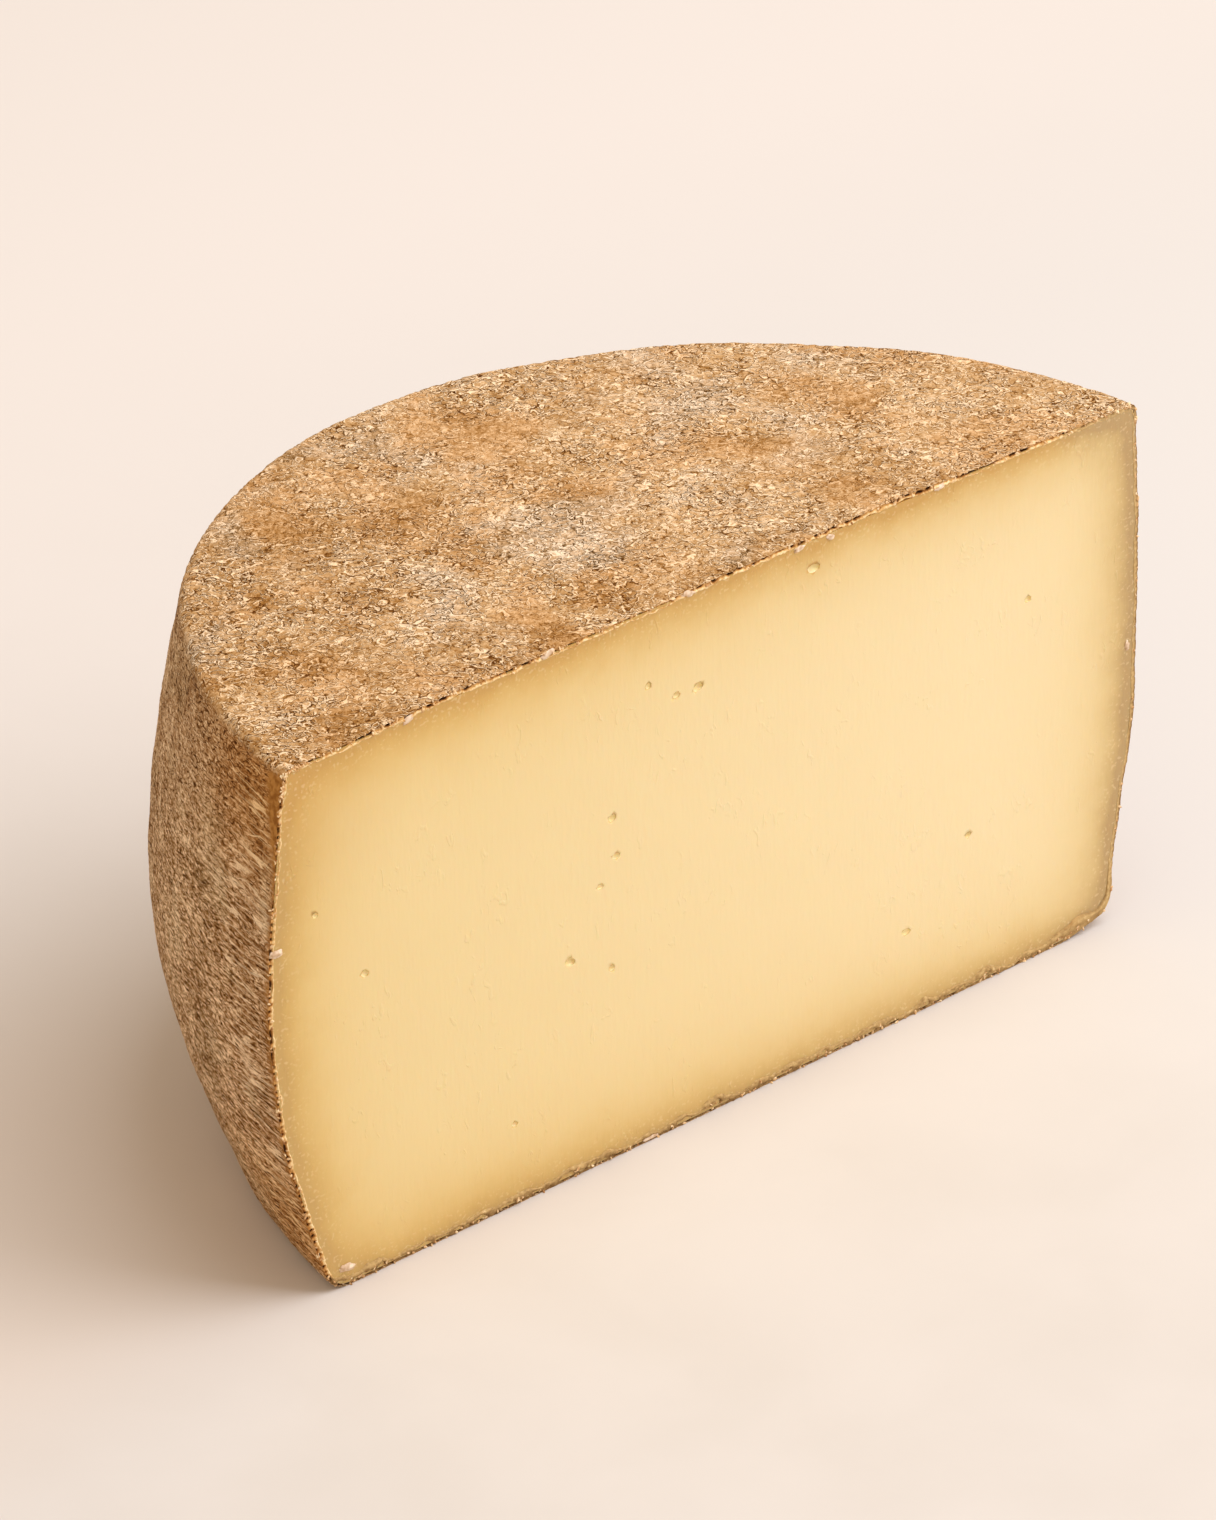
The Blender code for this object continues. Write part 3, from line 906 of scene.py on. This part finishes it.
def make_crumb_finish(name, stops):
    """Dry crumbs, from brown rind to pale paste."""
    material, nodes, shader = new_finish(name)
    place = nodes.place()
    wear(shader, "Base Color", place.cloud(1.1 * MM, 1.0).ramp(stops))
    shader.inputs["Roughness"].default_value = 0.75
    return material


# Colours of the paste in the middle, towards the rind and next to it, at the left and right of the cut
PASTE_LEFT = ((0.845, 0.675, 0.345), (0.74, 0.483, 0.125), (0.575, 0.366, 0.122))
PASTE_RIGHT = ((0.885, 0.73, 0.432), (0.77, 0.555, 0.205), (0.570, 0.370, 0.135))
PASTE_RIGHT_END = (0.495, 0.328, 0.140)
PASTE_TOP_EDGE = (0.600, 0.352, 0.098)
PASTE_OUTER_REACH = 11.0  # millimetres
PASTE_RIM_REACH = 4.0
PASTE_ACROSS = (-0.10, 0.09)  # its colours change from left to right between these
PASTE_UNDER_TOP = (0.106, 0.117)  # its edge turns warmer up between these heights
PASTE_END = (0.086, 0.104)  # and greyer towards the cut's right end
PASTE_CORNER = (-0.075, -0.108)  # the upper left corner is warmer, between these along the cut
PASTE_CORNER_HEIGHTS = (0.080, 0.110)
SPECK_COLOUR = (0.93, 0.76, 0.46)
EYE_COLOUR = (0.88, 0.71, 0.30)


def give_paste_surface(nodes, shader, place):
    """The satin, slightly see-through surface of cut paste, streaked by the knife."""
    shader.inputs["Roughness"].default_value = 0.5
    shader.inputs["Specular IOR Level"].default_value = 0.4
    shader.inputs["Subsurface Weight"].default_value = 0.3
    shader.inputs["Subsurface Radius"].default_value = (1.0, 0.6, 0.3)
    shader.inputs["Subsurface Scale"].default_value = 0.002
    streaks = place.stretched((1.0, 1.0, 0.2)).cloud(1.1 * MM, 3.0)
    smears = place.stretched((1.0, 1.0, 0.6)).cloud(2.2 * MM, 2.0, 1.0).between(0.60, 0.72)
    height = streaks + 1.1 * smears * place.cloud(14 * MM, 1.0).between(0.45, 0.65)
    wear(shader, "Normal", nodes.make("ShaderNodeBump", (), {"Height": height, "Distance": 0.07 * MM}))


def make_paste_finish():
    """Cut paste: ivory in the middle and darker towards the rind, where the salt and air reach."""
    material, nodes, shader = new_finish("paste")
    place = nodes.place()
    rim = nodes.mark("rim")
    uneven = 4.0 * (place.cloud(10 * MM, 2.0) - 0.5) + 1.6 * (place.cloud(1.8 * MM, 2.0) - 0.5)
    depth = nodes.maths("MAXIMUM", rim - 2.0 + uneven, 0.0)
    outer = nodes.maths("POWER", math.exp(-1 / PASTE_OUTER_REACH), depth)
    near = nodes.maths("POWER", math.exp(-1 / PASTE_RIM_REACH), depth)
    along = place.axis(0)
    height = place.axis(2)
    across = along.between(*PASTE_ACROSS)
    middle, towards, edge = (across.mix(left, right) for left, right in zip(PASTE_LEFT, PASTE_RIGHT))
    edge = height.between(*PASTE_UNDER_TOP).mix(edge, PASTE_TOP_EDGE)
    edge = along.between(*PASTE_END).mix(edge, PASTE_RIGHT_END)
    colour = near.mix(outer.mix(middle, towards), edge)
    corner = along.between(*PASTE_CORNER) * height.between(*PASTE_CORNER_HEIGHTS)
    colour = (0.25 * corner).mix(colour, PASTE_TOP_EDGE)
    specks = place.cloud(0.7 * MM, 0.5).between(0.60, 0.72) * rim.between(9.0, 2.0)
    wear(shader, "Base Color", (0.25 * specks).mix(colour, SPECK_COLOUR))
    give_paste_surface(nodes, shader, place)
    return material


def make_eye_finish():
    """The moist inside of an eye, a little greener than the paste."""
    material, nodes, shader = new_finish("eye")
    place = nodes.place()
    colour = place.cloud(0.9 * MM, 2.0).mix(EYE_COLOUR, PASTE_RIGHT[0])
    wear(shader, "Base Color", colour)
    give_paste_surface(nodes, shader, place)
    shader.inputs["Roughness"].default_value = 0.35
    return material


# ---------------------------------------------------------------- crumbs and flakes

CRUMB_SMALLEST = (0.00020, 0.00016, 0.00012)  # half widths
CRUMB_LARGEST = (0.00065, 0.00040, 0.00026)
CRUMB_DENT = 0.0006
CRUMB_DENT_LENGTH = 0.7 * MM
CRUMBS_ON = {  # to a square metre of the section
    "rind_top": 0.7e6,
    "rind_heel_left": 0.8e6,
    "rind_heel_right": 0.5e6,
    "rind_base": 0.6e6,
}
CRUMBLY_CORNER = (-0.098, -0.112)  # there are more at the upper left corner, between these along the cut
CRUMBLY_HEIGHTS = (0.116, 0.122)
FLOOR_GAP = 0.05 * MM
# Torn bits of rind on the cut: distance right of the middle and height above the base, then their own
# width, height and turn in degrees
FLAKES = (
    (-0.1151, 0.0849, 0.0032, 0.0018, 8),
    (-0.1006, 0.0045, 0.0040, 0.0022, 14),
    (-0.0811, 0.1246, 0.0026, 0.0012, -15),
    (-0.0462, 0.1257, 0.0036, 0.0012, -20),
    (-0.0100, 0.1256, 0.0034, 0.0012, 10),
    (0.0194, 0.1250, 0.0030, 0.0012, -8),
    (0.0274, 0.1246, 0.0020, 0.0014, 20),
    (0.0570, 0.1252, 0.0028, 0.0012, -12),
    (0.1106, 0.0672, 0.0012, 0.0022, 0),
    (-0.0207, 0.0008, 0.0046, 0.0011, 0),
)
FLAKE_THICKNESS = 0.0007


def keep_above_floor(data):
    """Lift the points of a mesh that lie below the floor to just above it."""
    for vert in data.vertices:
        vert.co.z = max(vert.co.z, FLOOR_GAP)


def crumb_tree(material):
    """Geometry nodes that turn a piece of rind into the crumbs along its cut edge, and their inputs."""
    tree = bpy.data.node_groups.new("edge_crumbs", "GeometryNodeTree")
    inputs = {}
    kinds = {"Rind": "Geometry", "Density": "Float", "Smallest": "Vector", "Largest": "Vector"}
    for name, kind in kinds.items():
        inputs[name] = tree.interface.new_socket(name, in_out="INPUT", socket_type="NodeSocket" + kind)
    tree.interface.new_socket("Crumbs", in_out="OUTPUT", socket_type="NodeSocketGeometry")
    group_input = tree.nodes.new("NodeGroupInput")
    given = {name: Socket(tree, group_input.outputs[name]) for name in inputs}
    nodes = Socket(tree)

    def uneven(smallest, largest, seed):
        settings = {"data_type": "FLOAT_VECTOR"}
        return nodes.make("FunctionNodeRandomValue", settings, {0: smallest, 1: largest, "Seed": seed})

    cut = nodes.make("GeometryNodeInputNamedAttribute", {"data_type": "FLOAT"}, {"Name": "cut"})
    place = nodes.make("GeometryNodeInputPosition")
    corner = place.axis(0).between(*CRUMBLY_CORNER) * place.axis(2).between(*CRUMBLY_HEIGHTS)
    density = given["Density"] * (1 + 7 * corner) * cut.between(0.0, 0.06) * cut.between(0.62, 0.40)
    spread = {"Mesh": given["Rind"], "Density": density, "Seed": 3}
    points = nodes.make("GeometryNodeDistributePointsOnFaces", (), spread)
    ball = nodes.make("GeometryNodeMeshIcoSphere", (), {"Radius": 1.0, "Subdivisions": 2})
    scattered = {
        "Points": points,
        "Instance": ball,
        "Rotation": uneven((0.0, 0.0, 0.0), (math.tau, math.tau, math.tau), 1),
        "Scale": uneven(given["Smallest"], given["Largest"], 2),
    }
    crumbs = nodes.make("GeometryNodeInstanceOnPoints", (), scattered)
    crumbs = crumbs.make_from("GeometryNodeRealizeInstances")
    noise_inputs = {"Vector": place, "Scale": 1 / CRUMB_DENT_LENGTH, "Detail": 1.0}
    dents = nodes.make("ShaderNodeTexNoise", (), noise_inputs, output=1)
    centred = {1: (CRUMB_DENT,) * 3, 2: (-0.5 * CRUMB_DENT,) * 3}
    dents = nodes.make("ShaderNodeVectorMath", {"operation": "MULTIPLY_ADD"}, {0: dents, **centred})
    crumbs = crumbs.make_from("GeometryNodeSetPosition", {"Offset": dents})
    crumbs = crumbs.make_from("GeometryNodeSetMaterial", {"Material": material})
    group_output = tree.nodes.new("NodeGroupOutput")
    tree.links.new(crumbs.socket, group_output.inputs["Crumbs"])
    return tree, inputs


def make_crumbs(rind_pieces, material):
    """Crumbs of rind and paste along the edges of the cut."""
    tree, inputs = crumb_tree(material)
    pieces = []
    for rind in rind_pieces:
        source = rind.copy()
        bpy.context.scene.collection.objects.link(source)
        scatter = source.modifiers.new("crumbs", "NODES")
        scatter.node_group = tree
        scatter[inputs["Density"].identifier] = CRUMBS_ON[rind.name]
        scatter[inputs["Smallest"].identifier] = CRUMB_SMALLEST
        scatter[inputs["Largest"].identifier] = CRUMB_LARGEST
        depsgraph = bpy.context.evaluated_depsgraph_get()
        data = bpy.data.meshes.new_from_object(source.evaluated_get(depsgraph), depsgraph=depsgraph)
        data.name = rind.name.replace("rind", "crumbs")
        keep_above_floor(data)
        bpy.data.objects.remove(source)
        pieces.append(put_down(data.name, data))
    return pieces


def make_flakes(material):
    """Torn bits of rind and paste that lie on the cut."""
    mesh = bmesh.new()
    for x, z, width, height, turn in FLAKES:
        ball = bmesh.ops.create_icosphere(mesh, subdivisions=3, radius=0.5)["verts"]
        lean = Matrix.Rotation(math.radians(turn), 3, "Y")
        for vert in ball:
            rough = 1 + 0.55 * noise.noise(vert.co * 3.1 + Vector((x, 0, z)) * 700)
            size = Vector((width, FLAKE_THICKNESS, height))
            vert.co = lean @ (vert.co * rough * size) + Vector((x, 0.0, z)) + Vector(CUT_MIDDLE)
    data = bpy.data.meshes.new("flakes")
    mesh.to_mesh(data)
    mesh.free()
    keep_above_floor(data)
    data.shade_smooth()
    data.materials.append(material)
    return put_down("flakes", data)


# ---------------------------------------------------------------- floor, camera and light

CAMERA_AZIMUTH = -39.515  # degrees, from the front of the cut
CAMERA_ELEVATION = 31.3076
CAMERA_ROLL = -0.7345
CAMERA_DISTANCE = 1.5894
CAMERA_TARGET = Vector((-0.0311, 0.0, 0.0955))  # from the middle of the cut
CAMERA_LENS = 189.47
FLOOR_COLOUR = (0.69, 0.64, 0.591)
FLOOR_SHADE = (0.66, 0.609, 0.556)
# paler towards the back: painted light
FLOOR_FAR_PAINTED_LIGHT = (0.77, 0.715, 0.67)
# darker and warmer at the left, where the wheel's shadow falls: painted shadow
FLOOR_LEFT_PAINTED_SHADOW = (0.69, 0.605, 0.53)
# paler and cooler at the right back: painted light over the wheel's shade there
FLOOR_RIGHT_PAINTED_LIGHT = (0.715, 0.68, 0.645)
FLOOR_HALF_WIDTH = 12.0


def way_to(azimuth, elevation):
    """The direction of something that stands some degrees round from the front and some degrees up."""
    azimuth = math.radians(azimuth)
    elevation = math.radians(elevation)
    flat = math.cos(elevation)
    return Vector((math.sin(azimuth) * flat, -math.cos(azimuth) * flat, math.sin(elevation)))


def add_camera():
    """The camera, at the front left and above, with a long lens."""
    roll = math.radians(CAMERA_ROLL)
    back = way_to(CAMERA_AZIMUTH, CAMERA_ELEVATION)
    right = (-back).cross(Vector((0, 0, 1))).normalized()
    up = right.cross(-back)
    side = math.cos(roll) * right + math.sin(roll) * up
    over = -math.sin(roll) * right + math.cos(roll) * up
    place = CAMERA_TARGET + Vector(CUT_MIDDLE) + back * CAMERA_DISTANCE
    data = bpy.data.cameras.new("camera")
    data.sensor_width = 36
    data.sensor_fit = "AUTO"
    data.lens = CAMERA_LENS
    data.clip_start = 0.1
    data.clip_end = 20
    camera = put_down("camera", data)
    camera.matrix_world = Matrix([[side[i], over[i], back[i], place[i]] for i in range(3)] + [[0, 0, 0, 1]])
    bpy.context.scene.camera = camera


def add_floor():
    """A wide pale plaster floor, with painted light that makes it paler towards the back and at the right
    back, and a painted shadow, darker and warmer, at the left where the wheel's shadow falls.
    """
    material, nodes, shader = new_finish("floor")
    place = nodes.place()
    tone = place.cloud(0.05, 4.0, 0.3).between(0.3, 0.75)
    along = place.axis(0)
    deep = place.axis(1)
    # paler towards the back: painted light
    colour = deep.between(-0.1, 0.35).mix(tone.mix(FLOOR_COLOUR, FLOOR_SHADE), FLOOR_FAR_PAINTED_LIGHT)
    # left: a painted shadow, darker and warmer where the wheel's shadow falls
    left = along.between(0.0, -0.12) * deep.between(-0.085, -0.025) * deep.between(0.12, 0.03)
    # right: painted light, paler and cooler over the wheel's shade at the right back
    right = along.between(0.02, 0.16) * deep.between(0.3, 0.1)
    wear(shader, "Base Color", right.mix(left.mix(colour, FLOOR_LEFT_PAINTED_SHADOW), FLOOR_RIGHT_PAINTED_LIGHT))
    shader.inputs["Roughness"].default_value = 0.8
    data = bpy.data.meshes.new("floor")
    size = FLOOR_HALF_WIDTH
    corners = [(-size, -size, 0), (size, -size, 0), (size, size, 0), (-size, size, 0)]
    data.from_pydata(corners, [], [(0, 1, 2, 3)])
    data.materials.append(material)
    put_down("floor", data)


KEY_AZIMUTH = 42  # degrees, as the camera's angles are
KEY_ELEVATION = 57
KEY_DISTANCE = 2.0
KEY_AIM = Vector((0, 0, 0.05))
KEY_WIDTH = 1.25
KEY_HEIGHT = 2.6
KEY_POWER = 37
KEY_COLOUR = (1.0, 1.05, 1.18)
ROOM_COLOUR = (1.0, 0.845, 0.67)
ROOM_STRENGTH = 0.74


def add_light():
    """Soft studio light: a tall key at the front right in a pale warm room."""
    data = bpy.data.lights.new("key", "AREA")
    data.shape = "RECTANGLE"
    data.size = KEY_WIDTH
    data.size_y = KEY_HEIGHT
    data.energy = KEY_POWER
    data.color = KEY_COLOUR
    key = put_down("key", data)
    back = way_to(KEY_AZIMUTH, KEY_ELEVATION)
    key.location = back * KEY_DISTANCE + KEY_AIM
    key.rotation_mode = "QUATERNION"
    key.rotation_quaternion = (-back).to_track_quat("-Z", "Y")
    world = bpy.data.worlds.new("room")
    world.use_nodes = True
    background = world.node_tree.nodes["Background"]
    background.inputs["Color"].default_value = (*ROOM_COLOUR, 1.0)
    background.inputs["Strength"].default_value = ROOM_STRENGTH
    bpy.context.scene.world = world
    bpy.context.scene.view_settings.view_transform = "Standard"


# ---------------------------------------------------------------- assembly


def main():
    """Make the pieces, say which solid they dress, and set up the floor, the camera and the light."""
    rind = make_rind_finish()
    paste = make_paste(make_paste_finish(), make_eye_finish())
    rinds = [*make_heel(rind), make_top(rind), make_base(rind)]
    crumbs = make_crumbs(rinds, make_crumb_finish("crumbs", CRUMB_TONES))
    flakes = make_flakes(make_crumb_finish("flakes", FLAKE_TONES))
    pieces = {"rind": [*rinds, *crumbs, flakes], "paste": [paste]}
    for slot, members in pieces.items():
        for piece in members:
            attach(piece, "root")
            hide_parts("half_wheel")
    add_floor()
    add_camera()
    add_light()


main()
